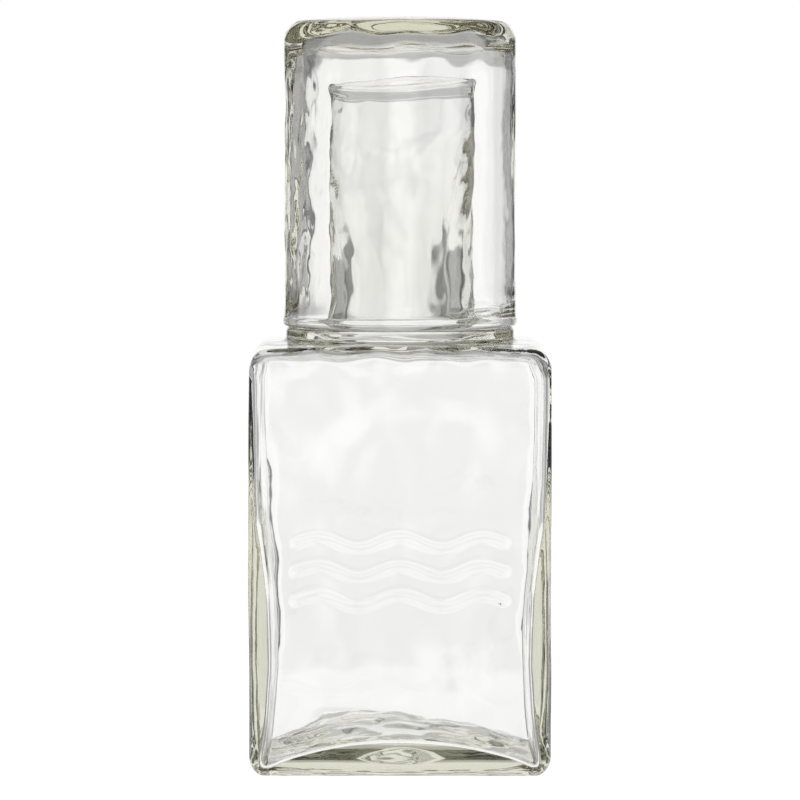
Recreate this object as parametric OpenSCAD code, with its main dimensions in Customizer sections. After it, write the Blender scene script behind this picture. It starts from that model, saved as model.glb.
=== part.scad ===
// Bedside carafe with its tumbler: a square glass bottle, and a straight glass
// that is worn upside down over the neck and rests on the collar.
// Millimetres. The origin is at the centre of the foot, +Z is up, and the front face looks along -Y.

/* [Carafe body] */
// Width and depth of the square body
body_w = 100; // [97:1:130]
// Height of the body up to the shoulder
body_h = 142; // [125:1:190]
// Radius of the body's upright corners, seen from above
body_corner_r = 6.5; // [6.5:0.5:9]
// Radius of the edge between the sides and the shoulder
shoulder_edge_r = 6.5; // [4:0.5:6.5]
// Radius of the edge between the sides and the foot
foot_edge_r = 6.5; // [4:0.5:6.5]

/* [Carafe walls] */
// Thickness of the side walls near the shoulder, where the glass is blown thin
wall_upper = 2.4; // [2:0.1:3.5]
// Thickness of the side walls at their thickest, low on the body
wall_lower = 6.4; // [4.5:0.1:6.8]
// Thickness of the side walls where they meet the floor
wall_foot = 4; // [3.5:0.1:5]
// Height at which the walls are thickest
wall_lower_z = 36; // [30:1:45]
// Height above which the walls are thin
wall_upper_z = 98; // [80:1:110]
// Thickness of the glass in the shoulder
shoulder_t = 2.1; // [1.8:0.1:3.5]
// Radius of the hollow's edge under the shoulder
inner_shoulder_r = 4.5; // [3:0.5:6]
// Radius of the hollow's edge at the floor
inner_foot_r = 4.5; // [3:0.5:5]
// Radius of the hollow's upright corners where the walls are thickest
inner_corner_r = 4.2; // [4:0.1:6]

/* [Carafe floor] */
// Height of the floor's dome at its middle
floor_crest_z = 17; // [14:0.5:20]
// Height of the floor round the foot of its dome
floor_low_z = 6; // [4:0.1:8]
// Radius of the dome's foot, seen from above
floor_dome_r = 40; // [30:1:41]
// Radius of the kick-up under the foot
punt_r = 30; // [20:1:36]
// Depth of the kick-up under the foot
punt_h = 5; // [3:0.5:6]

/* [Collar] */
// Height of the collar above the shoulder
collar_h = 4.7; // [3:0.1:7]
// How far the tumbler's side stands out beyond the collar
collar_inset = 0.7; // [0.4:0.1:0.9]
// Radius of the collar's upper edge
collar_edge_r = 0.8; // [0.6:0.1:1.3]
// Radius of the hollow where the collar's side meets the shoulder
collar_fillet_r = 1.6; // [1:0.1:2]

/* [Neck] */
// Outer radius of the neck
neck_r = 24.5; // [24:0.1:24.8]
// Height of the neck above the collar
neck_h = 85.5; // [75:0.5:105]
// Radius of the hollow where the neck meets the collar
neck_fillet_r = 4; // [2:0.5:5]
// Outer radius of the beaded lip
lip_r = 25; // [24.9:0.1:27]
// Height of the beaded lip
lip_h = 6; // [4:0.5:8]
// Radius of the lip's two upper edges
lip_edge_r = 0.8; // [0.5:0.05:0.85]
// Radius of the bore at its narrowest, low in the neck
bore_r = 17; // [14:0.5:18]
// Height of the bore's narrowest place above the shoulder
bore_waist_h = 22; // [16:0.5:24]
// Radius of the bore at the mouth
mouth_r = 23.2; // [21:0.1:23.3]
// Height over which the bore widens from its narrowest to the mouth
mouth_flare_h = 48; // [34:1:54]
// Radius of the bore where it opens into the body
bore_root_r = 22; // [19:0.5:26]

/* [Tumbler] */
// Outer radius of the tumbler
tumbler_r = 39; // [36:0.1:39.8]
// Thickness of the tumbler's side
tumbler_wall = 3.2; // [2.8:0.1:4.2]
// Thickness of the tumbler's base
tumbler_base_t = 6.5; // [5:0.5:12]
// Radius of the edge round the tumbler's base
tumbler_edge_r = 7; // [4:0.5:9]
// Radius of the hollow's edge inside the tumbler's base
tumbler_inner_r = 6; // [4:0.5:9]
// Rise of the tumbler's base towards its middle
tumbler_crown_h = 1.5; // [0.5:0.1:2.5]
// Space between the neck's lip and the inside of the tumbler's base
lip_clearance = 12.2; // [8:0.1:18]
// Height of the bead round the tumbler's rim
rim_h = 4; // [3:0.1:6]
// How far the rim's bead stands out from the side
rim_out = 0.35; // [0.2:0.05:0.6]
// Width of the flat that the rim stands on
rim_flat_w = 1.6; // [1.2:0.1:2]

/* [Raised waves] */
// Number of waves, one above another
wave_count = 3; // [1:1:4]
// Number of half waves along each one
half_wave_count = 5; // [3:2:5]
// Length of each wave
wave_len = 68; // [50:1:72]
// How far a wave swings above and below its middle line
wave_swing = 1.9; // [0.5:0.1:2.4]
// Distance from one wave to the next
wave_pitch = 9.6; // [8:0.1:12]
// Height of the middle of the waves
wave_z = 68; // [50:1:85]
// Width of the raised rib where it leaves the face
rib_w = 3.6; // [3.2:0.1:4]
// Width of the raised rib along its crest
rib_crest_w = 2.2; // [1.2:0.1:2.8]
// Height of the raised rib
rib_h = 1.2; // [1:0.05:1.8]
// Height of the step at the rib's sides
rib_side_h = 0.7; // [0.4:0.05:0.9]

/* [Cuts and fineness] */
// Length by which a cut runs past the surface it opens
overrun = 1; // [0.5:0.1:2]
// Steps round a quarter of a rounded edge
edge_steps = 8; // [4:1:12]
// Steps along each slow curve of an inside wall
wall_steps = 10; // [6:1:16]

/* [Hidden] */
$fn = 96;

quarter = 90;
half = body_w / 2;
straight = half - body_corner_r;
hollow_straight = half - wall_lower - inner_corner_r;
hollow_top = body_h - shoulder_t;
collar_r = tumbler_r - collar_inset;
seat_z = body_h + collar_h;
lip_z = seat_z + neck_h;
waist_z = body_h + bore_waist_h;
tumbler_top = lip_z + lip_clearance + tumbler_base_t;
tumbler_bore_r = tumbler_r - tumbler_wall;

// Points of a round edge about (cx, cy), from angle a to angle b
function round_edge(cx, cy, r, a, b) =
    [for (i = [0 : edge_steps]) let (t = a + (b - a) * i / edge_steps)
        [cx + r * cos(t), cy + r * sin(t)]];

// Points between two places on a slow curve that is upright at both ends
function slow_curve(xa, ya, xb, yb, steps) =
    [for (i = [1 : steps - 1]) let (t = i / steps, s = (1 - cos(2 * quarter * t)) / 2)
        [xa + (xb - xa) * s, ya + (yb - ya) * t]];

// The part of an outline beyond the straight run, closed along the run's end
function corner_outline(outline, run) = concat(
    [[0, outline[0][1]]],
    [for (p = outline) [p[0] - run, p[1]]],
    [[0, outline[len(outline) - 1][1]]]);

// An outline on the right and its mirror image on the left
function both_sides(outline) = concat(outline,
    [for (i = [len(outline) - 1 : -1 : 0]) [-outline[i][0], outline[i][1]]]);

module upright_slab(width) {
    rotate([quarter, 0, 0])
        linear_extrude(height = width, center = true)
            children();
}

// Carries an outline, given as distances from the middle of a side, round a square with round corners
module squared_turning(outline, run) {
    upright_slab(2 * run)
        polygon(both_sides(outline));
    for (side = [1, -1])
        rotate([0, 0, side * quarter])
            translate([run, 0, 0])
                upright_slab(2 * run)
                    polygon(corner_outline(outline, run));
    for (corner = [0 : 3])
        rotate([0, 0, corner * quarter])
            translate([run, run, 0])
                rotate_extrude(angle = quarter)
                    polygon(corner_outline(outline, run));
}

// Outside of the body

body_outline = concat(
    round_edge(half - foot_edge_r, foot_edge_r, foot_edge_r, -quarter, 0),
    round_edge(half - shoulder_edge_r, body_h - shoulder_edge_r, shoulder_edge_r, 0, quarter));

// A ball whose cap rises h above the level z0, over a circle of radius r
module ball_under_cap(r, h, z0) {
    ball_r = (r * r + h * h) / (2 * h);
    translate([0, 0, z0 + h - ball_r])
        sphere(r = ball_r, $fn = 4 * $fn);
}

// Inside of the body: thin walls above, thick ones low down, and a floor pushed up to a dome

hollow_foot_z = floor_low_z + inner_foot_r;
hollow_outline = concat(
    round_edge(half - wall_foot - inner_foot_r, hollow_foot_z, inner_foot_r, -quarter, 0),
    slow_curve(half - wall_foot, hollow_foot_z, half - wall_lower, wall_lower_z, wall_steps),
    [[half - wall_lower, wall_lower_z]],
    slow_curve(half - wall_lower, wall_lower_z, half - wall_upper, wall_upper_z, wall_steps),
    [[half - wall_upper, wall_upper_z]],
    round_edge(half - wall_upper - inner_shoulder_r, hollow_top - inner_shoulder_r,
        inner_shoulder_r, 0, quarter));

module body_hollow() {
    difference() {
        squared_turning(hollow_outline, hollow_straight);
        ball_under_cap(floor_dome_r, floor_crest_z - floor_low_z, floor_low_z);
    }
}

// Collar and neck, as one turned outline from the shoulder to the lip

lip_swell_z = lip_z - lip_h / 2;
neck_outline = concat(
    [[0, body_h]],
    round_edge(collar_r + collar_fillet_r, body_h + collar_fillet_r, collar_fillet_r,
        3 * quarter, 2 * quarter),
    round_edge(collar_r - collar_edge_r, seat_z - collar_edge_r, collar_edge_r, 0, quarter),
    round_edge(neck_r + neck_fillet_r, seat_z + neck_fillet_r, neck_fillet_r,
        3 * quarter, 2 * quarter),
    [[neck_r, lip_z - lip_h]],
    slow_curve(neck_r, lip_z - lip_h, lip_r, lip_swell_z, edge_steps),
    [[lip_r, lip_swell_z]],
    round_edge(lip_r - lip_edge_r, lip_z - lip_edge_r, lip_edge_r, 0, quarter),
    [[0, lip_z]]);

// The bore opens downwards into the body, is narrowest low in the neck, and widens to the mouth
bore_start_z = hollow_top - overrun;
bore_outline = concat(
    [[0, bore_start_z], [bore_root_r, bore_start_z]],
    slow_curve(bore_root_r, bore_start_z, bore_r, waist_z, wall_steps),
    [[bore_r, waist_z]],
    slow_curve(bore_r, waist_z, mouth_r, waist_z + mouth_flare_h, wall_steps),
    [[mouth_r, waist_z + mouth_flare_h]],
    round_edge(mouth_r + lip_edge_r, lip_z - lip_edge_r, lip_edge_r, 2 * quarter, quarter),
    [[mouth_r + lip_edge_r, lip_z + overrun], [0, lip_z + overrun]]);

// Raised waves on the front face, each a rib with round ends that follows a sine curve

wave_steps = half_wave_count * edge_steps;

function wave_slope(t) = wave_swing * cos(2 * quarter * half_wave_count * t)
    * PI * half_wave_count / wave_len;

function wave_middle(t) =
    [wave_len * (t - 1 / 2), wave_swing * sin(2 * quarter * half_wave_count * t)];

// A point beside the wave's middle line, turned by angle a from the line's own direction
function beside_wave(t, a, w) = let (turn = atan(wave_slope(t)) + a)
    wave_middle(t) + w / 2 * [cos(turn), sin(turn)];

function wave_outline(w) = concat(
    [for (i = [0 : wave_steps]) beside_wave(i / wave_steps, quarter, w)],
    [for (i = [1 : edge_steps - 1]) beside_wave(1, quarter - 2 * quarter * i / edge_steps, w)],
    [for (i = [wave_steps : -1 : 0]) beside_wave(i / wave_steps, -quarter, w)],
    [for (i = [1 : edge_steps - 1]) beside_wave(0, -quarter - 2 * quarter * i / edge_steps, w)]);

module raised_waves() {
    for (k = [0 : wave_count - 1], layer = [[rib_w, rib_side_h], [rib_crest_w, rib_h]])
        translate([0, overrun - half, wave_z + (k - (wave_count - 1) / 2) * wave_pitch])
            rotate([quarter, 0, 0])
                linear_extrude(height = layer[1] + overrun)
                    polygon(wave_outline(layer[0]));
}

module carafe() {
    color([0.86, 0.89, 0.82, 0.55])
        difference() {
            union() {
                squared_turning(body_outline, straight);
                rotate_extrude() polygon(neck_outline);
                raised_waves();
            }
            body_hollow();
            ball_under_cap(punt_r, punt_h, 0);
            rotate_extrude() polygon(bore_outline);
        }
}

// Tumbler, upside down: its rim stands on the collar and its base is at the top

rim_edge_r = (tumbler_wall - rim_flat_w) / 2;
tumbler_shoulder_z = tumbler_top - tumbler_crown_h - tumbler_edge_r;
tumbler_flat_r = tumbler_r - tumbler_edge_r;
tumbler_ceiling = tumbler_top - tumbler_base_t;
tumbler_outline = concat(
    [[0, tumbler_ceiling]],
    round_edge(tumbler_bore_r - tumbler_inner_r, tumbler_ceiling - tumbler_inner_r,
        tumbler_inner_r, quarter, 0),
    round_edge(tumbler_bore_r + rim_edge_r, seat_z + rim_edge_r, rim_edge_r,
        2 * quarter, 3 * quarter),
    round_edge(tumbler_r - rim_edge_r, seat_z + rim_edge_r, rim_edge_r, -quarter, 0),
    slow_curve(tumbler_r, seat_z + rim_edge_r, tumbler_r + rim_out, seat_z + rim_h / 2, edge_steps),
    [[tumbler_r + rim_out, seat_z + rim_h / 2]],
    slow_curve(tumbler_r + rim_out, seat_z + rim_h / 2, tumbler_r, seat_z + rim_h, edge_steps),
    [[tumbler_r, seat_z + rim_h]],
    round_edge(tumbler_flat_r, tumbler_shoulder_z, tumbler_edge_r, 0, quarter),
    [for (i = [1 : edge_steps]) let (s = 1 - i / edge_steps)
        [tumbler_flat_r * s, tumbler_top - tumbler_crown_h * s * s]]);

module tumbler() {
    color([0.9, 0.92, 0.9, 0.45])
        rotate_extrude() polygon(tumbler_outline);
}

carafe();
tumbler();
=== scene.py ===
# %% [markdown]
# # A bedside carafe with its tumbler
# The object is two pieces of clear recycled glass: a square bottle with a short round neck,
# and a straight tumbler that is worn upside down over the neck. Glass has no colour of its
# own to paint. What the eye sees is the room behind it, bent by the walls, and a faint olive
# tint where the light goes a long way through. So the lesson is about three things: walls
# with a true thickness, surfaces as uneven as hand-made ones, and a room that gives the
# edges something darker to bend.

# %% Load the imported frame
import math

import bpy
import numpy as np
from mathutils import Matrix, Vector, noise


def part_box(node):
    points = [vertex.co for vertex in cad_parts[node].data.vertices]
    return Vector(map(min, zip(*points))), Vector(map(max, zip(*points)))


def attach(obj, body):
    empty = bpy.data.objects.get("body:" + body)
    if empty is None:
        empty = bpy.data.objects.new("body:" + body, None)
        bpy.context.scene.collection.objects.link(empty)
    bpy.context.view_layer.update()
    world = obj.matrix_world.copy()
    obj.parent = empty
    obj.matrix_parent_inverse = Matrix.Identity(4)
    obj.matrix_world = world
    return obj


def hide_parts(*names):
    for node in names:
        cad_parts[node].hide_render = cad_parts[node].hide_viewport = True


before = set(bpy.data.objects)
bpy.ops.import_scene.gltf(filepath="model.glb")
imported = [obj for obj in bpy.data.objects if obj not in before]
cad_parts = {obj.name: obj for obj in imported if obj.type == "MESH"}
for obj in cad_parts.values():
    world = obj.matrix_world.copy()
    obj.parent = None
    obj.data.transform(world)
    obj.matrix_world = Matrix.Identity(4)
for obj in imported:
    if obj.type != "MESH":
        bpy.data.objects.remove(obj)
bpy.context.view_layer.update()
MM = 0.001
carafe_low, carafe_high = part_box("carafe")
tumbler_low, tumbler_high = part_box("tumbler")
print("carafe", [round(v / MM, 1) for v in carafe_high - carafe_low], "mm")
print("tumbler", [round(v / MM, 1) for v in tumbler_high - tumbler_low], "mm")

# %% [markdown]
# ## Sizes
# The body's width and the heights of the lip, of the tumbler's seat and of its top come from
# the frame, so the glass can't drift away from the solids that it stands for. The other
# radii, the wall thicknesses and the edges are the glassmaker's own measures. Some are read
# from the photograph, and the rest are chosen so that the glass bends light as it does there.

# %% Sizes of the carafe's outside
HALF_WIDTH = carafe_high.x
LIP_Z = carafe_high.z
SEAT_Z = tumbler_low.z
COLLAR_HEIGHT = 4.7 * MM
SHOULDER_Z = SEAT_Z - COLLAR_HEIGHT
SHOULDER_SLOPE = 0.04
CORNER_R = 4 * MM
FOOT_EDGE_R = 6.5 * MM
PUNT_R = 32 * MM
PUNT_RISE = 5 * MM
SHOULDER_EDGE_R = 6.5 * MM
COLLAR_R = 38.3 * MM
COLLAR_FILLET_R = 1.6 * MM
COLLAR_EDGE_R = 1.4 * MM
SEAT_AIR = 0.1 * MM
NECK_R = 24.5 * MM
NECK_FILLET_R = 4 * MM
LIP_R = 25 * MM
BEAD_BELOW_LIP = 6.5 * MM
BEAD_TALL = 3.4 * MM
print("shoulder at", round(SHOULDER_Z / MM, 1), "mm, seat at", round(SEAT_Z / MM, 1), "mm")

# %% Sizes of the carafe's hollow
LIP_MOUTH_R = 22.2 * MM
LIP_TALL = 1.25
MOUTH_R = 23.2 * MM
BORE_R = 17.8 * MM
BORE_SHIFT = 1.4 * MM
BORE_ROOT_R = 22 * MM
BORE_BEVEL_WIDE = 0.6 * MM
BORE_BEVEL_TALL = 0.5 * MM
SHOULDER_GLASS = 2.1 * MM
CEILING_EDGE_R = 4.5 * MM
WALL_END_Z = 26 * MM
FLOOR_FILLET = 5 * MM
FLOOR_CREST_Z = 17 * MM
FLOOR_BALL_R = 150 * MM
print("bore", round(2 * BORE_R / MM, 1), "mm wide, floor up to", round(FLOOR_CREST_Z / MM, 1), "mm")

# %% Sizes of the tumbler
TUMBLER_R = 39 * MM
TUMBLER_WALL = 3.2 * MM
TUMBLER_WALL_HIGH = 4.2 * MM
TUMBLER_BORE_SHIFT = 1.3 * MM
TUMBLER_TOP = tumbler_high.z
TUMBLER_BASE = 6.5 * MM
TUMBLER_CROWN = 1.5 * MM
TUMBLER_EDGE_WIDE = 6.2 * MM
TUMBLER_EDGE_TALL = 7.6 * MM
TUMBLER_INNER_WIDE = 7 * MM
TUMBLER_INNER_TALL = 8 * MM
RIM_OUT = 0.35 * MM
RIM_HEIGHT = 4 * MM
print("tumbler wall", TUMBLER_WALL / MM, "mm at the rim,", TUMBLER_WALL_HIGH / MM, "mm above")
print("tumbler base", TUMBLER_BASE / MM, "mm")

# %% [markdown]
# ## One skin from foot to lip and back
# A blown vessel is a single skin that goes from the foot, up the outside, over the lip and
# down the inside to the floor. It could be made as two shells and a boolean, but that leaves
# ragged triangles at the lip, which glass shows at once. Here it is one sheet of rings: every
# ring is a square with round corners, and a ring whose corner radius is as large as its half
# width is a circle. So the same rings run from the square foot to the round neck. A row
# below is one ring: its half width, its corner radius and its height.

# %% How many rows each stretch of the skin gets
ROWS = {
    "punt": 22,
    "foot ring": 8,
    "foot edge": 9,
    "below the waves": 22,
    "beside the waves": 46,
    "above the waves": 24,
    "shoulder edge": 10,
    "shoulder": 7,
    "collar fillet": 6,
    "collar edge": 6,
    "seat": 7,
    "neck fillet": 7,
    "neck": 52,
    "bead": 7,
    "lip": 15,
    "bore": 58,
    "ceiling": 12,
    "ceiling edge": 9,
    "inner wall": 60,
    "lower wall": 9,
    "floor fillet": 8,
    "floor": 24,
    "tumbler ceiling": 20,
    "tumbler ceiling edge": 16,
    "tumbler inner wall": 66,
    "tumbler rim": 17,
    "tumbler bead": 7,
    "tumbler wall": 64,
    "tumbler edge": 16,
    "tumbler base": 20,
}
FIRST_RING_R = 0.5 * MM
LEAST_CORNER = 0.2 * MM


def steps(start, end, stretch):
    """Even steps from start to end along a stretch, without the first one."""
    return np.linspace(start, end, ROWS[stretch])[1:]


# %% Rings that run from a rounded square to a circle
def ring_radius(angle, half, corner):
    """Distance from the axis to a square of half width half with corners of radius corner."""
    c = np.abs(np.cos(angle))
    s = np.abs(np.sin(angle))
    big, small = np.maximum(c, s), np.minimum(c, s)
    inner = half - corner
    flat = half / big
    along = inner * (big + small)
    inside = np.maximum(along ** 2 - 2 * inner ** 2 + corner ** 2, 0)
    round_part = along + np.sqrt(inside)
    return np.where(small * flat <= inner, flat, round_part)


def ease(t):
    """Goes from 0 to 1 without a corner at either end."""
    t = np.clip(t, 0, 1)
    return t * t * (3 - 2 * t)


def ramp(value, start, length):
    """0 up to start, then eases up to 1 over length."""
    return ease((value - start) / length)


# %% Rows round an edge
def arc(half, corner, z, r, turn, stretch, tall=1.0):
    """Rows round an edge of radius r, tall times as high as it is wide, through turn degrees."""
    rows = []
    for t in np.radians(np.linspace(*turn, ROWS[stretch])):
        out = r * math.cos(t)
        rows.append((half + out, max(corner + out, LEAST_CORNER), z + tall * r * math.sin(t)))
    return rows


def round_arc(middle, z, r, turn, stretch, tall=1.0):
    """The same on a round piece."""
    return arc(middle, middle, z, r, turn, stretch, tall)


# %% [markdown]
# ## The outside of the carafe
# The mould gives the body its square sides, and its corners stay round because stiff glass
# doesn't run into sharp ones. The foot is pushed up in the middle, which is called a punt, so
# that the bottle stands on a ring. On the sides, the rows lie closest beside the raised
# waves.

# %% Rows of the foot, from its middle to the foot's edge
def foot_rows():
    rows = []
    for r in np.linspace(FIRST_RING_R, PUNT_R, ROWS["punt"]):
        rows.append((r, r, PUNT_RISE * (1 - ease(r / PUNT_R))))
    flat = HALF_WIDTH - FOOT_EDGE_R
    flat_corner = CORNER_R - FOOT_EDGE_R
    for t in steps(0, 1, "foot ring")[:-1]:
        half = PUNT_R + (flat - PUNT_R) * t
        rows.append((half, half + (flat_corner - half) * ease(t), 0))
    return rows + arc(flat, flat_corner, FOOT_EDGE_R, FOOT_EDGE_R, (-90, 0), "foot edge")


# %% Rows of the square sides and the shoulder
WAVES_LOW_Z = 54 * MM
WAVES_HIGH_Z = 82 * MM
SHOULDER_EDGE_TURN = (0, 88)


def body_rows():
    top = SHOULDER_Z - SHOULDER_EDGE_R
    below = steps(FOOT_EDGE_R, WAVES_LOW_Z, "below the waves")
    beside = steps(WAVES_LOW_Z, WAVES_HIGH_Z, "beside the waves")
    above = steps(WAVES_HIGH_Z, top, "above the waves")[:-1]
    rows = [(HALF_WIDTH, CORNER_R, z) for z in np.concatenate([below, beside, above])]
    flat = HALF_WIDTH - SHOULDER_EDGE_R
    flat_corner = CORNER_R - SHOULDER_EDGE_R
    rows += arc(flat, flat_corner, top, SHOULDER_EDGE_R, SHOULDER_EDGE_TURN, "shoulder edge")
    collar = COLLAR_R + COLLAR_FILLET_R
    for t in steps(0, 1, "shoulder"):
        half = flat + (collar - flat) * t
        rows.append((half, flat_corner + (half - flat_corner) * ease(t), SHOULDER_Z))
    return rows


# %% Rows of the collar, its seat, the neck and the bead under the lip
def neck_rows():
    seat = SEAT_Z - SEAT_AIR
    collar = COLLAR_R + COLLAR_FILLET_R
    collar_low = SHOULDER_Z + COLLAR_FILLET_R
    collar_top = COLLAR_R - COLLAR_EDGE_R
    neck_foot = NECK_R + NECK_FILLET_R
    neck_low = seat + NECK_FILLET_R
    bead = LIP_Z - BEAD_BELOW_LIP
    rows = round_arc(collar, collar_low, COLLAR_FILLET_R, (270, 180), "collar fillet")[1:]
    rows += round_arc(collar_top, seat - COLLAR_EDGE_R, COLLAR_EDGE_R, (0, 90), "collar edge")
    rows += [(r, r, seat) for r in steps(collar_top, neck_foot, "seat")]
    rows += round_arc(neck_foot, neck_low, NECK_FILLET_R, (270, 180), "neck fillet")[1:]
    rows += [(NECK_R, NECK_R, z) for z in steps(neck_low, bead, "neck")]
    for t in steps(0, 1, "bead"):
        r = NECK_R + (LIP_R - NECK_R) * ease(t)
        rows.append((r, r, bead + BEAD_TALL * t))
    return rows


outer = foot_rows() + body_rows() + neck_rows()
print("rows outside", len(outer))

# %% [markdown]
# ## The inside of the carafe
# The bore is wide at the mouth, narrow where the neck was gripped, and opens again into the
# body. The side walls are thin high up, where the glass was blown furthest, and thick low
# down, where it stayed. The floor rises to a low dome.

# %% How thick the side walls are at each height, in millimetres
WALL_HEIGHTS = [0, 7, 20, 36, 48, 60, 70, 84, 98, 115, 140]
WALL_GLASS = [3.2, 3.8, 5.4, 6.5, 6.3, 5.7, 4.6, 3.2, 2.6, 2.3, 2.0]
THIN_WALL = 2 * MM
INNER_CORNER_R = 2.6 * MM
INNER_CORNER_LEAST = 1.8 * MM


def side_wall(z):
    """Thickness of the side walls at height z."""
    return np.interp(z / MM, WALL_HEIGHTS, WALL_GLASS) * MM


def inner_corner(wall):
    """Corner radius of the hollow, which shrinks as the wall grows."""
    return np.maximum(INNER_CORNER_R - (wall - THIN_WALL), INNER_CORNER_LEAST)


# %% The bore: a waist low down, and wider at both ends
WAIST_Z = SHOULDER_Z + 24 * MM
ROOT_FLARE_Z = SHOULDER_Z + 11 * MM
MOUTH_FLARE_Z = SHOULDER_Z + 70 * MM
MOUTH_BEAD = (LIP_Z - 7 * MM, 5 * MM)
CEILING_Z = SHOULDER_Z - SHOULDER_GLASS


def bore_radius(z):
    if z > WAIST_Z:
        bead = (MOUTH_R - LIP_MOUTH_R) * float(ramp(z, *MOUTH_BEAD))
        flare = (MOUTH_R - BORE_R) * float(ramp(z, WAIST_Z, MOUTH_FLARE_Z - WAIST_Z))
        return BORE_R + flare - bead
    share = (ROOT_FLARE_Z - z) / (ROOT_FLARE_Z - CEILING_Z)
    return BORE_R + (BORE_ROOT_R - BORE_R) * float(ease(share))


# %% Rows of the inside, from the lip down to the lower walls
def inside_rows():
    lip_round = (LIP_R - LIP_MOUTH_R) / 2
    lip_low = LIP_Z - lip_round * LIP_TALL
    rows = round_arc(LIP_MOUTH_R + lip_round, lip_low, lip_round, (0, 180), "lip", LIP_TALL)
    for z in steps(lip_low, CEILING_Z + BORE_BEVEL_TALL, "bore"):
        r = bore_radius(z)
        rows.append((r, r, z))
    top = CEILING_Z - CEILING_EDGE_R
    wall = float(side_wall(top))
    flat = HALF_WIDTH - wall - CEILING_EDGE_R
    flat_corner = max(float(inner_corner(wall)) - CEILING_EDGE_R, LEAST_CORNER)
    start = BORE_ROOT_R + BORE_BEVEL_WIDE
    for t in np.linspace(0, 1, ROWS["ceiling"])[:-1]:
        half = start + (flat - start) * t
        rows.append((half, half + (flat_corner - half) * ease(t), CEILING_Z))
    rows += arc(flat, flat_corner, top, CEILING_EDGE_R, (90, 0), "ceiling edge")
    for z in steps(top, WALL_END_Z, "inner wall"):
        wall = float(side_wall(z))
        rows.append((HALF_WIDTH - wall, float(inner_corner(wall)), z))
    return rows


inner = inside_rows()
print("rows inside", len(inner))

# %% [markdown]
# ## From rows to a skin of points
# The rows become a grid of points, one column for each direction round the axis. The front
# face carries raised waves, and the corners turn quickly, so the columns lie closer together
# in both places than on the three plain sides.

# %% Columns round the axis
FRONT = -math.pi / 2
WAVE_LENGTH = 68 * MM
WAVE_MARGIN = 3 * MM
FRONT_COLUMNS = 96
CORNER_COLUMNS = 15
SIDE_COLUMNS = 30


def column_angles():
    reach = math.atan2(WAVE_LENGTH / 2 + WAVE_MARGIN, HALF_WIDTH)
    across = np.linspace(-math.tan(reach), math.tan(reach), FRONT_COLUMNS)
    parts = [FRONT + np.arctan(across)]
    for side in range(4):
        corner = FRONT + math.pi / 4 + side * math.pi / 2
        low = corner - (math.pi / 4 - reach)
        high = corner + (math.pi / 4 - reach)
        parts.append(np.linspace(low, high, CORNER_COLUMNS)[1:-1])
        if side < 3:
            parts.append(np.linspace(high, high + 2 * reach, SIDE_COLUMNS))
    return np.concatenate(parts)


ANGLES = column_angles()
print("columns", len(ANGLES))


# %% A grid of points from rows
def ring(radius, z, angles):
    """Points of one or more rings, from their radius at each angle."""
    return np.stack([radius * np.cos(angles), radius * np.sin(angles), z + 0 * radius], axis=-1)


def grid_from(rows, angles):
    half, corner, z = (np.array(column)[:, None] for column in zip(*rows))
    return ring(ring_radius(angles[None, :], half, corner), z, angles)


# %% The lower walls and the domed floor, column by column
FIRST_MEET_Z = 8 * MM
MEET_TRIES = 4


def inner_radius(z):
    """Distance from the axis to the inside of the walls, with a height for every column."""
    wall = side_wall(z)
    return ring_radius(ANGLES, HALF_WIDTH - wall, inner_corner(wall))


def dome(r):
    """Height of the domed floor at distance r from the axis."""
    return FLOOR_CREST_Z - FLOOR_BALL_R + np.sqrt(FLOOR_BALL_R ** 2 - r ** 2)


def bend(t, start, middle, end):
    """A curve that leaves start towards middle and comes to end from there."""
    return (1 - t) ** 2 * start + 2 * t * (1 - t) * middle + t * t * end


def floor_grid():
    """In each column the walls meet the dome at a height of its own, found in a few tries."""
    meet = np.full(len(ANGLES), FIRST_MEET_Z)
    for _ in range(MEET_TRIES):
        meet = dome(inner_radius(meet))
    wall_foot = meet + FLOOR_FILLET
    rings = []
    for t in steps(0, 1, "lower wall"):
        z = WALL_END_Z + (wall_foot - WALL_END_Z) * t
        rings.append((inner_radius(z), z))
    meet_r = inner_radius(meet)
    floor_r = meet_r - FLOOR_FILLET
    for t in steps(0, 1, "floor fillet"):
        r = bend(t, inner_radius(wall_foot), meet_r, floor_r)
        rings.append((r, bend(t, wall_foot, meet, dome(floor_r))))
    for t in steps(0, 1, "floor")[:-1]:
        r = floor_r * (1 - t)
        rings.append((r, dome(r)))
    return np.stack([ring(r, z, ANGLES) for r, z in rings])


# %% Normals, and a way to push points along them
SHORTEST = 1e-12


def normals_of(grid):
    """Unit normals that point out of the glass."""
    across = np.roll(grid, -1, axis=1) - np.roll(grid, 1, axis=1)
    along = np.gradient(grid, axis=0)
    n = np.cross(across, along)
    return n / np.maximum(np.linalg.norm(n, axis=-1, keepdims=True), SHORTEST)


def push(grid, depth):
    """Moves every point along its normal by its own depth."""
    return grid + normals_of(grid) * depth[..., None]


# %% [markdown]
# ## Unevenness
# Hand-made glass is never flat. The unevenness is worked into the mesh and not only into a
# bump, because it has to show in the outline and move the light that passes through. The
# noise is the same each time the script runs, since it depends on nothing but the place.

# %% Noise over the skin
PLACE_SPREAD = 1.7
LAYER_FINER = 2.1
LAYER_WEAKER = 0.45
NOISE_GAIN = 1.6


def unevenness(grid, size, place, layers, tall=1.0):
    """Noise from about -1 to 1, with bumps about size across and tall times as high."""
    flat = grid.reshape(-1, 3) * np.array([1, 1, 1 / tall])
    out = np.zeros(len(flat))
    offset = Vector((place, place * PLACE_SPREAD, -place))
    for i, p in enumerate(flat):
        q = Vector(p) / size + offset
        value, weight = 0.0, 1.0
        for _ in range(layers):
            value += weight * noise.noise(q)
            q = q * LAYER_FINER
            weight *= LAYER_WEAKER
        out[i] = value
    return out.reshape(grid.shape[:2]) * NOISE_GAIN


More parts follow.
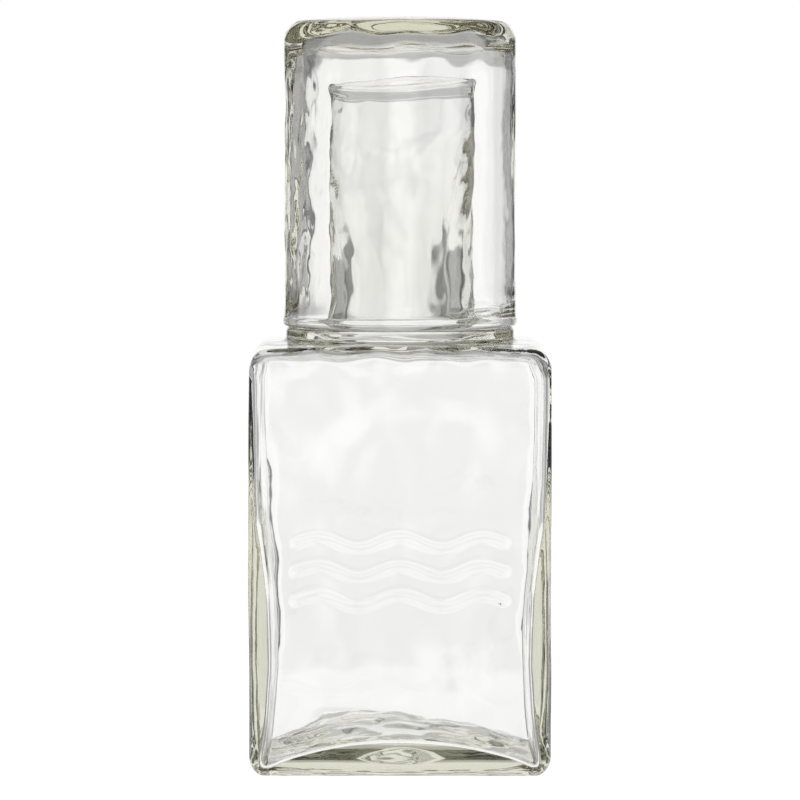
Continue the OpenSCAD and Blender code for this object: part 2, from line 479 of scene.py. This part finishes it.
def fade(z, low, high, width):
    """1 between low and high, and 0 beyond them."""
    return ease((z - low) / width + 0.5) * ease((high - z) / width + 0.5)


# %% [markdown]
# ## Raised waves
# The front face carries a plain raised ornament, three waves one above another, pressed out
# by the mould. A separate tube laid on the face would show a seam through the glass. So the
# ribs are part of the skin: each point rises by its distance from the nearest wave.

# %% Height of the ribs at a place on the front face
WAVE_SWING = 1.9 * MM
WAVE_PITCH = 9.6 * MM
WAVE_MIDDLE_Z = 68 * MM
WAVE_COUNT = 3
HALF_WAVES = 5
RIB_HALF_WIDTH = 2.0 * MM
RIB_HEIGHT = 0.85 * MM
RIB_FLAT = 0.25


def rib_height(x, z):
    reach = WAVE_LENGTH / 2
    inside = np.clip(x, -reach, reach)
    turn = math.pi * HALF_WAVES * (inside / WAVE_LENGTH + 0.5)
    slope = WAVE_SWING * math.pi * HALF_WAVES / WAVE_LENGTH * np.cos(turn)
    height = np.zeros(x.shape)
    for k in range(WAVE_COUNT):
        middle = WAVE_MIDDLE_Z + (k - (WAVE_COUNT - 1) / 2) * WAVE_PITCH
        beside = (z - middle - WAVE_SWING * np.sin(turn)) / np.sqrt(1 + slope ** 2)
        away = np.hypot(beside, x - inside) / RIB_HALF_WIDTH
        height = np.maximum(height, RIB_HEIGHT * (1 - ramp(away, RIB_FLAT, 1 - RIB_FLAT)))
    return height


# %% [markdown]
# ## The carafe's outer skin
# Apart from the waves, the outside is only ever pushed inwards, so it stays in the space that
# the solid holds. The collar's seat stays true, because the tumbler rests there. The shoulder
# falls away a little from the collar, as soft glass does when it sinks.

# %% The sloping shoulder
SLOPE_RAMP = (SHOULDER_Z - 22 * MM, 16 * MM)
SLOPE_END_Z = SHOULDER_Z + 0.5 * MM


def shoulder_sloped(grid):
    """The shoulder falls away from the collar on every side, and furthest at the corners."""
    x, y, z = (grid[..., i] for i in range(3))
    beyond = np.maximum(np.hypot(x, y) - COLLAR_R - COLLAR_FILLET_R, 0)
    share = ramp(z, *SLOPE_RAMP) * (z < SLOPE_END_Z)
    return grid - np.stack([0 * z, 0 * z, share * beyond * SHOULDER_SLOPE], axis=-1)


# %% The outer skin
# Each kind of bump has a size across, a place in the noise and a number of layers.
BODY_BUMPS = (34 * MM, 3.1, 1)
FINE_BUMPS = (15 * MM, 7.7, 2)
NECK_BUMPS = (10 * MM, 12.4, 2)
PUNT_BUMPS = (11 * MM, 2.9, 2)
BODY_DEPTH = 0.2 * MM
BODY_FINE_DEPTH = 0.05 * MM
NECK_DEPTH = 0.24 * MM
NECK_FINE_DEPTH = 0.06 * MM
PUNT_DEPTH = 0.35 * MM
# A span is a low end, a high end and the width of its fades. An end is a place and a length.
BODY_SPAN = (2 * MM, SHOULDER_Z - 3 * MM, 4 * MM)
NECK_SPAN = (SEAT_Z + 6 * MM, LIP_Z + 4 * MM, 8 * MM)
PUNT_END = (PUNT_R - 4 * MM, 8 * MM)
PUNT_TOP_Z = PUNT_RISE + 1 * MM
FRONT_DEPTH = 0.8 * MM


def outer_skin():
    grid = shoulder_sloped(grid_from(outer, ANGLES))
    x, y, z = (grid[..., i] for i in range(3))
    broad = unevenness(grid, *BODY_BUMPS)
    fine = unevenness(grid, *FINE_BUMPS)
    rough = unevenness(grid, *NECK_BUMPS)
    dents = unevenness(grid, *PUNT_BUMPS)
    body = BODY_DEPTH * (1 + broad) + BODY_FINE_DEPTH * (1 + fine)
    neck = NECK_DEPTH * (1 + rough) + NECK_FINE_DEPTH * (1 + fine)
    in_punt = (1 - ramp(np.hypot(x, y), *PUNT_END)) * (z < PUNT_TOP_Z)
    sunk = fade(z, *BODY_SPAN) * body + fade(z, *NECK_SPAN) * neck
    sunk = np.maximum(sunk + in_punt * PUNT_DEPTH * (1 + dents), 0)
    raised = np.where(-y > HALF_WIDTH - FRONT_DEPTH, rib_height(x, z), 0)
    return push(grid, raised - sunk)


# %% [markdown]
# ## The carafe's inner skin
# The inside never touched a mould, so it is less even than the outside. The front and back
# walls have broad dimples. The thick floor, which stayed soft longest, has swirls, and so has
# the ceiling under the collar. The bore runs a little to one side of the neck.

# %% The inner skin
WALL_BUMPS = (38 * MM, 21.3, 1)
WALL_FINE_BUMPS = (16 * MM, 17.9, 2)
DIMPLES = (19 * MM, 5.2, 1)
SWIRLS = (9 * MM, 9.4, 1)
WALL_DEPTH = 0.3 * MM
WALL_FINE_DEPTH = 0.1 * MM
DIMPLE_DEPTH = 0.42 * MM
FLOOR_SWIRL_DEPTH = 0.65 * MM
CEILING_SWIRL_DEPTH = 0.4 * MM
LIP_SPAN = (LIP_Z - 4 * MM, LIP_Z + 8 * MM, 4 * MM)
DIMPLE_SPAN = (20 * MM, SHOULDER_Z - 10 * MM, 12 * MM)
FLOOR_SPAN = (0, 20 * MM, 4 * MM)
FLOOR_END = (37 * MM, 5 * MM)
CEILING_SPAN = (SHOULDER_Z - 8 * MM, SHOULDER_Z + 4 * MM, 4 * MM)
BORE_SPAN = (SHOULDER_Z + 4 * MM, LIP_Z - 24 * MM, 12 * MM)
FACING_WIDTH = 20 * MM


def inner_skin():
    grid = shoulder_sloped(np.concatenate([grid_from(inner, ANGLES), floor_grid()]))
    x, y, z = (grid[..., i] for i in range(3))
    walls = WALL_DEPTH * unevenness(grid, *WALL_BUMPS)
    walls = walls + WALL_FINE_DEPTH * unevenness(grid, *WALL_FINE_BUMPS)
    facing = ease((np.abs(y) - np.abs(x)) / FACING_WIDTH + 0.5) * fade(z, *DIMPLE_SPAN)
    dimples = DIMPLE_DEPTH * facing * unevenness(grid, *DIMPLES)
    from_middle = np.maximum(np.abs(x), np.abs(y))
    on_floor = fade(z, *FLOOR_SPAN) * (1 - ramp(from_middle, *FLOOR_END))
    swirls = FLOOR_SWIRL_DEPTH * on_floor + CEILING_SWIRL_DEPTH * fade(z, *CEILING_SPAN)
    swirls = swirls * unevenness(grid, *SWIRLS)
    calm = 1 - fade(z, *LIP_SPAN)
    pushed = push(grid, calm * (walls + dimples + swirls))
    pushed[..., 0] -= BORE_SHIFT * fade(z, *BORE_SPAN)
    return pushed


# %% [markdown]
# ## The carafe's lip and mesh
# The mouth was cut and melted by hand, so it isn't level: it leans to one side, nods and
# waves a little. Both skins are settled together, which keeps the lip's thickness.

# %% The settled lip
LIP_LEAN = 2.2 * MM
LIP_NOD = 2.6 * MM
LIP_WAVE = 0.7 * MM
LIP_WAVES = 3
LIP_WAVE_TURN = 0.6
LIP_SETTLE_HEIGHT = 18 * MM
LIP_REACH = LIP_R + 1 * MM


def lip_settled(grid):
    x, y, z = (grid[..., i] for i in range(3))
    near_axis = np.hypot(x, y) < LIP_REACH
    share = ramp(z, LIP_Z - LIP_SETTLE_HEIGHT, LIP_SETTLE_HEIGHT) * near_axis
    bearing = np.arctan2(y, x)
    drop = LIP_LEAN * (1 - x / LIP_R) / 2 + LIP_NOD * (1 - y / LIP_R) / 2
    drop = drop + LIP_WAVE * (1 + np.sin(LIP_WAVES * bearing + LIP_WAVE_TURN)) / 2
    return grid - np.stack([0 * z, 0 * z, share * drop], axis=-1)


# %% One closed mesh from a grid
def skin_to_mesh(name, grid):
    """The grid's rows are joined all the way round, with a fan at each end."""
    rows, columns = grid.shape[:2]
    points = grid.reshape(-1, 3).tolist()
    start, end = len(points), len(points) + 1
    points.append(grid[0].mean(axis=0).tolist())
    points.append(grid[-1].mean(axis=0).tolist())
    faces = []
    for low in range(0, (rows - 1) * columns, columns):
        high = low + columns
        for c in range(columns):
            d = (c + 1) % columns
            faces.append((low + c, low + d, high + d, high + c))
    last = (rows - 1) * columns
    for c in range(columns):
        d = (c + 1) % columns
        faces.append((start, d, c))
        faces.append((end, last + c, last + d))
    mesh = bpy.data.meshes.new(name)
    mesh.from_pydata(points, [], faces)
    mesh.validate()
    mesh.shade_smooth()
    piece = bpy.data.objects.new(name, mesh)
    bpy.context.collection.objects.link(piece)
    print(name, "faces", len(mesh.polygons))
    return piece


# %% The carafe
carafe_skin = lip_settled(np.concatenate([outer_skin(), inner_skin()]))
carafe_glass = skin_to_mesh("carafe_glass", carafe_skin)
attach(carafe_glass, "carafe")
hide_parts("carafe")

# %% [markdown]
# ## The tumbler
# The tumbler is turned upside down, so its thick base is at the top. Its rim was melted
# smooth and stands out a little as a bead. Its wall is thinnest at the rim and swells above
# it. It is round all the way, so its rows are circles.

# %% Rows of the tumbler's inside and rim
WALL_SWELL = (SEAT_Z + 4 * MM, 14 * MM)
RIM_BULGE = 0.18
RIM_BULGE_BACK = 0.2
RIM_R = TUMBLER_WALL / 2


def tumbler_inside_rows():
    bore = TUMBLER_R - TUMBLER_WALL
    bore_high = TUMBLER_R - TUMBLER_WALL_HIGH
    ceiling = TUMBLER_TOP - TUMBLER_BASE
    flat = bore_high - TUMBLER_INNER_WIDE
    top = ceiling - TUMBLER_INNER_TALL
    tall = TUMBLER_INNER_TALL / TUMBLER_INNER_WIDE
    rows = [(r, r, ceiling) for r in np.linspace(FIRST_RING_R, flat, ROWS["tumbler ceiling"])]
    rows += round_arc(flat, top, TUMBLER_INNER_WIDE, (90, 0), "tumbler ceiling edge", tall)[1:]
    for z in steps(top, SEAT_Z + RIM_R, "tumbler inner wall"):
        r = bore + (bore_high - bore) * ramp(z, *WALL_SWELL)
        rows.append((r, r, z))
    return rows


def tumbler_rim_rows():
    rows = []
    for t in np.radians(steps(180, 360, "tumbler rim")):
        out = math.cos(t)
        bulge = 1 + RIM_BULGE * ease((out + RIM_BULGE_BACK) / (1 + RIM_BULGE_BACK))
        r = TUMBLER_R - TUMBLER_WALL + RIM_R + RIM_R * out * bulge
        rows.append((r, r, SEAT_Z + RIM_R * (1 + math.sin(t))))
    for t in steps(0, 1, "tumbler bead"):
        r = TUMBLER_R + RIM_OUT * (1 - ease(t))
        rows.append((r, r, SEAT_Z + RIM_R + (RIM_HEIGHT - RIM_R) * t))
    return rows


# %% Rows of the tumbler's outside
TUMBLER_EDGE_TURN = (0, 86)


def tumbler_outside_rows():
    edge = TUMBLER_TOP - TUMBLER_CROWN - TUMBLER_EDGE_TALL
    flat = TUMBLER_R - TUMBLER_EDGE_WIDE
    tall = TUMBLER_EDGE_TALL / TUMBLER_EDGE_WIDE
    rows = [(TUMBLER_R, TUMBLER_R, z) for z in steps(SEAT_Z + RIM_HEIGHT, edge, "tumbler wall")]
    rows += round_arc(flat, edge, TUMBLER_EDGE_WIDE, TUMBLER_EDGE_TURN, "tumbler edge", tall)[1:]
    last_r, last_z = rows[-1][0], rows[-1][2]
    for t in steps(0, 1, "tumbler base")[:-1]:
        r = last_r * (1 - t)
        rows.append((r, r, last_z + (TUMBLER_TOP - last_z) * (1 - (1 - t) ** 2)))
    return rows


tumbler_rows = tumbler_inside_rows() + tumbler_rim_rows() + tumbler_outside_rows()
print("rows of the tumbler", len(tumbler_rows))

# %% [markdown]
# ## The tumbler's skin
# The left wall has a fine upright grain, as if the glass had cooled against something
# rough, and the underside of the thick base is lumpy. The hollow isn't quite in the middle,
# so one wall is thicker than the other and draws a wider dark band.

# %% The tumbler's skin
# The grain has a fourth number: how many times as high as wide its bumps are.
TUMBLER_COLUMNS = 256
TUMBLER_BUMPS = (28 * MM, 31.2, 1)
GRAIN = (5 * MM, 44.6, 2, 1.7)
BASE_BUMPS = (11 * MM, 61.7, 1)
TUMBLER_DEPTH = 0.16 * MM
TOP_CALM = 0.5
GRAIN_DEPTH = 0.02 * MM
GRAIN_DEPTH_LEFT = 0.15 * MM
GRAIN_PEAK = 1.4
BASE_THICKER = 0.25 * MM
BASE_BUMP_DEPTH = 0.45 * MM
ABOVE_RIM = (SEAT_Z + 2 * MM, 8 * MM)
NEAR_TOP = (TUMBLER_TOP - 26 * MM, 12 * MM)
ON_LEFT = (24 * MM, 12 * MM)
UNDER_BASE = (TUMBLER_TOP - TUMBLER_BASE - 13 * MM, 7 * MM)


def tumbler_skin():
    angles = np.linspace(0, 2 * math.pi, TUMBLER_COLUMNS + 1)[:-1]
    grid = grid_from(tumbler_rows, angles)
    x, z = grid[..., 0], grid[..., 2]
    calm = ramp(z, *ABOVE_RIM)
    top = ramp(z, *NEAR_TOP)
    broad_depth = TUMBLER_DEPTH * (1 - TOP_CALM * top)
    grain_depth = (GRAIN_DEPTH + GRAIN_DEPTH_LEFT * ramp(-x, *ON_LEFT)) * (1 - top)
    depth = broad_depth * unevenness(grid, *TUMBLER_BUMPS)
    depth = calm * (depth + grain_depth * unevenness(grid, *GRAIN))
    outside = np.arange(len(grid))[:, None] > np.argmin(z[:, 0])
    grid[..., 0] += np.where(outside, 0, TUMBLER_BORE_SHIFT * calm)
    bumps = BASE_THICKER + BASE_BUMP_DEPTH * unevenness(grid, *BASE_BUMPS)
    inside_depth = depth + ramp(z, *UNDER_BASE) * bumps
    outside_depth = depth - calm * (broad_depth + GRAIN_PEAK * grain_depth)
    grid = push(grid, np.where(outside, outside_depth, inside_depth))
    grid[..., 2] = np.minimum(grid[..., 2], TUMBLER_TOP)
    return grid


tumbler_glass = skin_to_mesh("tumbler_glass", tumbler_skin())
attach(tumbler_glass, "tumbler")
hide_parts("tumbler")

# %% [markdown]
# ## Glass
# The glass lets all light through its surface, and takes a little out on the way, mostly
# blue. So the tint can't be a surface colour: it is an absorption in the volume, which
# leaves thin walls clear and turns the thick base and the edges olive. The fine ripple that
# fire leaves is too small for the mesh, so it is a bump. Both glasses have it, so it is a
# group with its size as an input.

# %% A shared group for the fine ripple on melted glass
RIPPLE_LAYERS = 2.0
RIPPLE_ROUGHNESS = 0.4


def ripple_group():
    group = bpy.data.node_groups.new("melted_ripple", "ShaderNodeTree")
    group.interface.new_socket("Size", in_out="INPUT", socket_type="NodeSocketFloat")
    group.interface.new_socket("Height", in_out="OUTPUT", socket_type="NodeSocketFloat")
    nodes, links = group.nodes, group.links
    inputs = nodes.new("NodeGroupInput")
    outputs = nodes.new("NodeGroupOutput")
    place = nodes.new("ShaderNodeTexCoord")
    ripple = nodes.new("ShaderNodeTexNoise")
    ripple.inputs["Detail"].default_value = RIPPLE_LAYERS
    ripple.inputs["Roughness"].default_value = RIPPLE_ROUGHNESS
    links.new(place.outputs["Object"], ripple.inputs["Vector"])
    links.new(inputs.outputs["Size"], ripple.inputs["Scale"])
    links.new(ripple.outputs["Fac"], outputs.inputs["Height"])
    return group


RIPPLE = ripple_group()

# %% Glass with a tint that depends on the way through it
GLASS_IOR = 1.51
RIPPLE_DEPTH = 0.035 * MM
CARAFE_TINT = (0.68, 0.68, 0.5)
TUMBLER_TINT = (0.6, 0.58, 0.3)


def glass(name, tint, density, ripple_size):
    material = bpy.data.materials.new(name)
    material.use_nodes = True
    nodes, links = material.node_tree.nodes, material.node_tree.links
    shader = nodes["Principled BSDF"]
    shader.inputs["Base Color"].default_value = (1, 1, 1, 1)
    shader.inputs["Roughness"].default_value = 0.0
    shader.inputs["IOR"].default_value = GLASS_IOR
    shader.inputs["Transmission Weight"].default_value = 1.0
    ripple = nodes.new("ShaderNodeGroup")
    ripple.node_tree = RIPPLE
    ripple.inputs["Size"].default_value = ripple_size
    bump = nodes.new("ShaderNodeBump")
    bump.inputs["Strength"].default_value = 1.0
    bump.inputs["Distance"].default_value = RIPPLE_DEPTH
    links.new(ripple.outputs["Height"], bump.inputs["Height"])
    links.new(bump.outputs["Normal"], shader.inputs["Normal"])
    absorb = nodes.new("ShaderNodeVolumeAbsorption")
    absorb.inputs["Color"].default_value = (*tint, 1)
    absorb.inputs["Density"].default_value = density
    links.new(absorb.outputs["Volume"], nodes["Material Output"].inputs["Volume"])
    kept = [round(math.exp(-density * (1 - c) * 100 * MM), 2) for c in tint]
    print(name, "keeps", kept, "of red, green and blue over 100 mm")
    return material


carafe_material = glass("carafe_glass", CARAFE_TINT, density=9.0, ripple_size=160)
tumbler_material = glass("tumbler_glass", TUMBLER_TINT, density=11.0, ripple_size=200)
carafe_glass.data.materials.append(carafe_material)
tumbler_glass.data.materials.append(tumbler_material)

# %% [markdown]
# ## The table
# The table is white. Most of that white is a glow of its own, so the glass leaves only a
# faint shadow on it. The camera and the soft light between things see the table. Light that
# glass has bent or mirrored passes through it instead, and meets the lower part of the room,
# which looks much like the table and has no edge. With a plain table its edge and its shadow
# show in the glass as grey steps.

# %% Small helpers for the nodes
def put(tree, socket, value):
    """Sets a socket to a number, or links it to another node's output."""
    if isinstance(value, (int, float)):
        socket.default_value = value
    else:
        tree.links.new(value, socket)


def math_node(tree, operation, *values):
    node = tree.nodes.new("ShaderNodeMath")
    node.operation = operation
    for socket, value in zip(node.inputs, values):
        put(tree, socket, value)
    return node.outputs[0]


def smooth_step(tree, value, edge):
    """Goes from 0 to 1 while value goes from the edge's first number to its second."""
    node = tree.nodes.new("ShaderNodeMapRange")
    node.interpolation_type = "SMOOTHSTEP"
    put(tree, node.inputs["Value"], value)
    put(tree, node.inputs["From Min"], edge[0])
    put(tree, node.inputs["From Max"], edge[1])
    return node.outputs["Result"]


def blend(tree, share, low, high):
    """low where share is 0 and high where it is 1."""
    node = tree.nodes.new("ShaderNodeMapRange")
    put(tree, node.inputs["Value"], share)
    put(tree, node.inputs["To Min"], low)
    put(tree, node.inputs["To Max"], high)
    return node.outputs["Result"]


def through_glass(tree, ray):
    """1 for light that glass has bent or mirrored, and 0 for the rest."""
    mirrored = ray.outputs["Is Glossy Ray"]
    return math_node(tree, "MAXIMUM", mirrored, ray.outputs["Is Transmission Ray"])


# %% The table
FLOOR_R = 0.42
FLOOR_SIDES = 96
FLOOR_GREY = 0.35
FLOOR_GLOW = 0.96


def floor():
    bpy.ops.mesh.primitive_circle_add(vertices=FLOOR_SIDES, radius=FLOOR_R, fill_type="NGON")
    ground = bpy.context.object
    ground.name = "floor"
    material = bpy.data.materials.new("white_table")
    material.use_nodes = True
    tree = material.node_tree
    nodes, links = tree.nodes, tree.links
    nodes.clear()
    diffuse = nodes.new("ShaderNodeBsdfDiffuse")
    diffuse.inputs["Color"].default_value = (FLOOR_GREY, FLOOR_GREY, FLOOR_GREY, 1)
    glow = nodes.new("ShaderNodeEmission")
    glow.inputs["Strength"].default_value = FLOOR_GLOW
    add = nodes.new("ShaderNodeAddShader")
    links.new(diffuse.outputs[0], add.inputs[0])
    links.new(glow.outputs[0], add.inputs[1])
    clear = nodes.new("ShaderNodeBsdfTransparent")
    mix = nodes.new("ShaderNodeMixShader")
    links.new(through_glass(tree, nodes.new("ShaderNodeLightPath")), mix.inputs[0])
    links.new(add.outputs[0], mix.inputs[1])
    links.new(clear.outputs[0], mix.inputs[2])
    out = nodes.new("ShaderNodeOutputMaterial")
    links.new(mix.outputs[0], out.inputs["Surface"])
    ground.data.materials.append(material)
    print("table", round(2 * FLOOR_R, 2), "m across")


floor()

# %% [markdown]
# ## The room
# Clear glass is lit by what stands behind it. A white screen stands on each of the four
# sides and shows through the faces. It has a narrow dark card at each edge and a grey wall
# beyond, and the edges of the glass bend these into view, which draws the outline of clear
# glass on white. The screens are a little greyer low down in their middle, and in a thin
# faint line just above that, so that uneven walls show as soft patches. Below, the table is
# white again, but dark steeply down on the front side, and a narrow white strip runs to two
# of its corners. High up, the room is dimmer, and the roof is grey. All of this is a
# brightness that depends on a direction alone, so the room is a world and not a set of things.

# %% The screens, cards and walls, by degrees round the axis and by how far up a ray goes
EIGHTH_TURN = 45.0
SCREEN_EDGE = (21.0, 14.0)
CARD_EDGE = (24.0, 32.0)
CARD_LEVEL = 0.1
WALL_LEVEL = 0.42
SCREEN_RISE = (-0.07, -0.035)
SCREEN_GREY = (0.3, 3.8)
SCREEN_MIDDLE = 0.88
SCREEN_TOP = (0.0, 0.05)
STREAK_EDGE = (0.6, 1.8)
STREAK_LEVEL = 0.97


def level_round(tree, degrees, up):
    """Brightness of the four screens, of the cards at their edges and of the walls."""
    off_axis = math_node(tree, "PINGPONG", degrees, EIGHTH_TURN)
    streak = blend(tree, smooth_step(tree, up, SCREEN_TOP), STREAK_LEVEL, 1.0)
    high = blend(tree, smooth_step(tree, off_axis, STREAK_EDGE), streak, 1.0)
    low = blend(tree, smooth_step(tree, off_axis, SCREEN_GREY), SCREEN_MIDDLE, 1.0)
    screen = blend(tree, smooth_step(tree, up, SCREEN_RISE), low, high)
    beside = blend(tree, smooth_step(tree, off_axis, CARD_EDGE), CARD_LEVEL, WALL_LEVEL)
    return blend(tree, smooth_step(tree, off_axis, SCREEN_EDGE), beside, screen)


# %% The table's part of the room, and the part above
TABLE_WHITE = (-0.2, -0.27)
NEAR_SIDE = (0.1, -0.25)
NEAR_TABLE = (-0.42, -0.6)
NEAR_TABLE_LEVEL = 0.1
STRIP_BEARING = 135.0
QUARTER_TURN = 90.0
STRIP_EDGE = (9.0, 6.0)
STRIP_BELOW = (-0.14, -0.2)
HIGH_EDGE = (0.12, 0.25)
HIGH_SHARE = 0.55
ROOF_EDGE = (0.5, 0.7)
ROOF_LEVEL = 0.4


def with_table(tree, level, degrees, up, away):
    level = math_node(tree, "MAXIMUM", level, smooth_step(tree, up, TABLE_WHITE))
    near = smooth_step(tree, away, NEAR_SIDE)
    near_table = math_node(tree, "MULTIPLY", near, smooth_step(tree, up, NEAR_TABLE))
    level = blend(tree, near_table, level, NEAR_TABLE_LEVEL)
    turned = math_node(tree, "SUBTRACT", degrees, STRIP_BEARING)
    strip = smooth_step(tree, math_node(tree, "PINGPONG", turned, QUARTER_TURN), STRIP_EDGE)
    strip = math_node(tree, "MULTIPLY", strip, smooth_step(tree, up, STRIP_BELOW))
    return math_node(tree, "MAXIMUM", level, strip)


def with_roof(tree, level, up):
    share = blend(tree, smooth_step(tree, up, HIGH_EDGE), 1.0, HIGH_SHARE)
    level = math_node(tree, "MULTIPLY", level, share)
    return blend(tree, smooth_step(tree, up, ROOF_EDGE), level, ROOF_LEVEL)


# %% The room, as light from every direction
LAMP_SHARE = 0.85


def room():
    """Glass shows the room, the camera sees plain white, and other light is a little less."""
    world = bpy.data.worlds.new("studio")
    bpy.context.scene.world = world
    world.use_nodes = True
    tree = world.node_tree
    nodes, links = tree.nodes, tree.links
    nodes.clear()
    way = nodes.new("ShaderNodeTexCoord")
    split = nodes.new("ShaderNodeSeparateXYZ")
    links.new(way.outputs["Generated"], split.inputs[0])
    right, away, up = (split.outputs[axis] for axis in "XYZ")
    degrees = math_node(tree, "DEGREES", math_node(tree, "ARCTAN2", away, right))
    level = level_round(tree, degrees, up)
    level = with_table(tree, level, degrees, up, away)
    level = with_roof(tree, level, up)
    ray = nodes.new("ShaderNodeLightPath")
    share = blend(tree, through_glass(tree, ray), LAMP_SHARE, 1.0)
    level = math_node(tree, "MULTIPLY", level, share)
    level = math_node(tree, "MAXIMUM", level, ray.outputs["Is Camera Ray"])
    background = nodes.new("ShaderNodeBackground")
    background.inputs["Color"].default_value = (1, 1, 1, 1)
    links.new(level, background.inputs["Strength"])
    out = nodes.new("ShaderNodeOutputWorld")
    links.new(background.outputs[0], out.inputs["Surface"])
    print("room made of", len(nodes), "nodes")


room()

# %% [markdown]
# ## Camera
# The photograph was taken from about two metres, level with the neck and looking a little
# down, through a long lens. So the sides stay upright and the base is seen from above.

# %% Camera
CAMERA_FAR = 1.9
CAMERA_Z = 0.231
LOOK_DOWN = 3.29
LENS = 254.5
SENSOR = 36
CLIP_START = 0.05


def camera():
    data = bpy.data.cameras.new("photo_camera")
    data.lens = LENS
    data.sensor_width = SENSOR
    data.clip_start = CLIP_START
    eye = bpy.data.objects.new("photo_camera", data)
    bpy.context.collection.objects.link(eye)
    eye.location = (0.0, -CAMERA_FAR, CAMERA_Z)
    eye.rotation_euler = (math.radians(90 - LOOK_DOWN), 0, 0)
    bpy.context.scene.camera = eye
    print("camera", CAMERA_FAR, "m away, lens", LENS, "mm")


camera()

# %% [markdown]
# ## How far the light is followed
# On its way to the eye, light goes through many walls and is mirrored inside them many times.
# Where it is given up too early, the glass turns black. The limit for mirrored light was
# chosen: with 16 a black spot stands in the base, and with 60 the tumbler's dark upper
# corners turn to pale grain.

# %% Colours and limits
scene = bpy.context.scene
scene.view_settings.view_transform = "Standard"
scene.cycles.max_bounces = 80
scene.cycles.transmission_bounces = 60
scene.cycles.glossy_bounces = 24
scene.cycles.diffuse_bounces = 3
